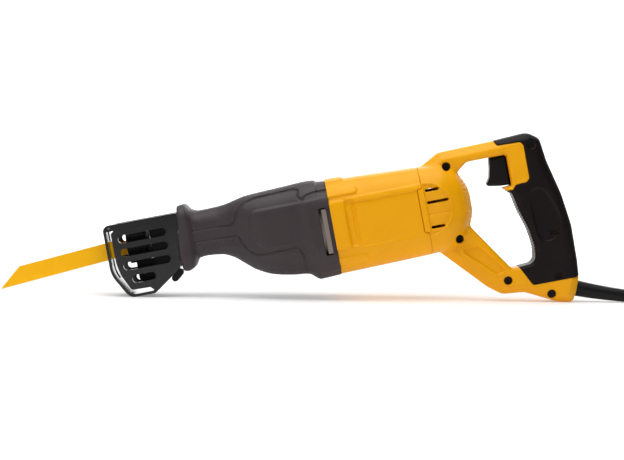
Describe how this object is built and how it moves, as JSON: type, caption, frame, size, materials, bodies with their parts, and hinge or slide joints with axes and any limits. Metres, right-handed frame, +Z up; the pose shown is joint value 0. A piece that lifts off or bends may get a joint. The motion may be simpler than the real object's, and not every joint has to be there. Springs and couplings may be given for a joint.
{
  "type": "reciprocating saw",
  "caption": "Corded reciprocating saw with an in-line motor, closed D-handle, rubber-covered gear case, slotted pivoting shoe, keyless blade clamp and coiled mains cord.",
  "frame": {"origin": "on the floor under the middle of the saw's own box (the cord beyond its strain relief left out)", "axes": "+X from the blade to the handle, +Y to the saw's left, +Z up; the saw stands nose down on its shoe and foot"},
  "size_m": [0.7694, 0.148, 0.1641],
  "materials": {
    "yellow_plastic": "satin moulded",
    "boot_rubber": "matte moulded",
    "grip_rubber": "satin moulded",
    "bumper_rubber": "matte",
    "shoe_black": "glossy black coat",
    "dark_steel": "blackened",
    "clamp_black": "satin black coat",
    "ground_steel": "ground",
    "machined_steel": "machined",
    "spring_steel": "drawn",
    "blade_paint": "satin coat",
    "cast_aluminium": "cast",
    "bronze": "sintered",
    "copper": "lacquered",
    "laminations": "stacked",
    "inner_plastic": "moulded",
    "carbon": "pressed",
    "trigger_plastic": "moulded",
    "lead_sheath": "smooth",
    "cord_rubber": "matte",
    "tie_plastic": "ribbed",
    "pin_metal": "nickel plated"
  },
  "bodies": {
    "frame": {"shoe_bracket": "clamp_black", "stop_bumper": "bumper_rubber", "bracket_screws": "dark_steel", "shoe_pivot_pin": "shoe_black", "nose_seal": "grip_rubber", "spindle_bushings": "bronze", "gear_boot": "boot_rubber", "gear_case": "cast_aluminium", "bearing_plate": "cast_aluminium", "wear_plates": "bronze", "crank_bearings": "ground_steel", "motor_bearings": "ground_steel", "fan_baffle": "inner_plastic", "field_stack": "laminations", "field_coils": "copper", "brushes": "carbon", "brush_holders": "inner_plastic", "brush_springs": "spring_steel", "motor_housing": "yellow_plastic", "housing_screws": "dark_steel", "handle_left": "yellow_plastic", "handle_right": "yellow_plastic", "grip_left": "grip_rubber", "grip_right": "grip_rubber", "handle_screws": "dark_steel", "trigger_spring": "spring_steel", "switch": "inner_plastic", "inner_leads": "lead_sheath", "strain_relief": "cord_rubber", "cord_inside": "cord_rubber", "cord_clamp": "inner_plastic", "cord_tube": "cord_rubber", "cord_coil": "cord_rubber", "cord_tie": "tie_plastic", "plug_body": "cord_rubber", "plug_pins": "pin_metal"},
    "spindle": {"spindle": "ground_steel", "spindle_yoke": "machined_steel", "yoke_pin": "ground_steel", "clamp_core": "dark_steel", "clamp_ring": "dark_steel", "clamp_spring": "spring_steel", "blade": "blade_paint"},
    "clamp_sleeve": {"clamp_sleeve": "clamp_black"},
    "locking_pin": {"locking_pin": "ground_steel"},
    "crank": {"crank_gear": "machined_steel", "crank_pin": "ground_steel", "crank_roller": "ground_steel", "crank_weight": "machined_steel"},
    "armature": {"armature_shaft": "ground_steel", "pinion": "machined_steel", "armature_stack": "laminations", "armature_windings": "copper", "commutator": "copper", "cooling_fan": "inner_plastic"},
    "trigger": {"trigger": "trigger_plastic", "switch_plunger": "inner_plastic"},
    "shoe": {"shoe_strap": "shoe_black", "shoe_guard_left": "shoe_black", "shoe_guard_right": "shoe_black"}
  },
  "joints": [
    {"name": "spindle_stroke", "type": "slide", "parent": "frame", "child": "spindle", "axis": [0.9802, 0, 0.1979], "range_m": [-0.014, 0.014]},
    {"name": "armature_spin", "type": "hinge", "parent": "frame", "child": "armature", "pos_m": [0.01628, 0, 0.06925], "axis": [0.9802, 0, 0.1979], "continuous": true},
    {"name": "crank_spin", "type": "hinge", "parent": "frame", "child": "crank", "pos_m": [-0.03273, 0, 0.05936], "axis": [-0.1979, 0, 0.9802], "continuous": true},
    {"name": "clamp_release", "type": "hinge", "parent": "spindle", "child": "clamp_sleeve", "pos_m": [-0.17353, 0, 0.04929], "axis": [0.9802, 0, 0.1979], "range_deg": [0, 60], "stiffness_Nm_per_rad": 0.1, "springref_deg": -20.05},
    {"name": "pin_lift", "type": "slide", "parent": "spindle", "child": "locking_pin", "axis": [0, -1, 0], "range_m": [0, 0.00261]},
    {"name": "trigger_pull", "type": "slide", "parent": "frame", "child": "trigger", "axis": [0.9802, 0, 0.1979], "range_m": [0, 0.007], "stiffness_N_per_m": 400, "springref_m": -0.008},
    {"name": "shoe_pivot", "type": "hinge", "parent": "frame", "child": "shoe", "pos_m": [-0.16574, 0, 0.02587], "axis": [0, -1, 0], "range_deg": [0, 15]}
  ],
  "couplings": [
    {"joint": "crank_spin", "follows": "armature_spin", "ratio": 0.125},
    {"joint": "pin_lift", "follows": "clamp_release", "m_per_rad": 0.0024828}
  ]
}
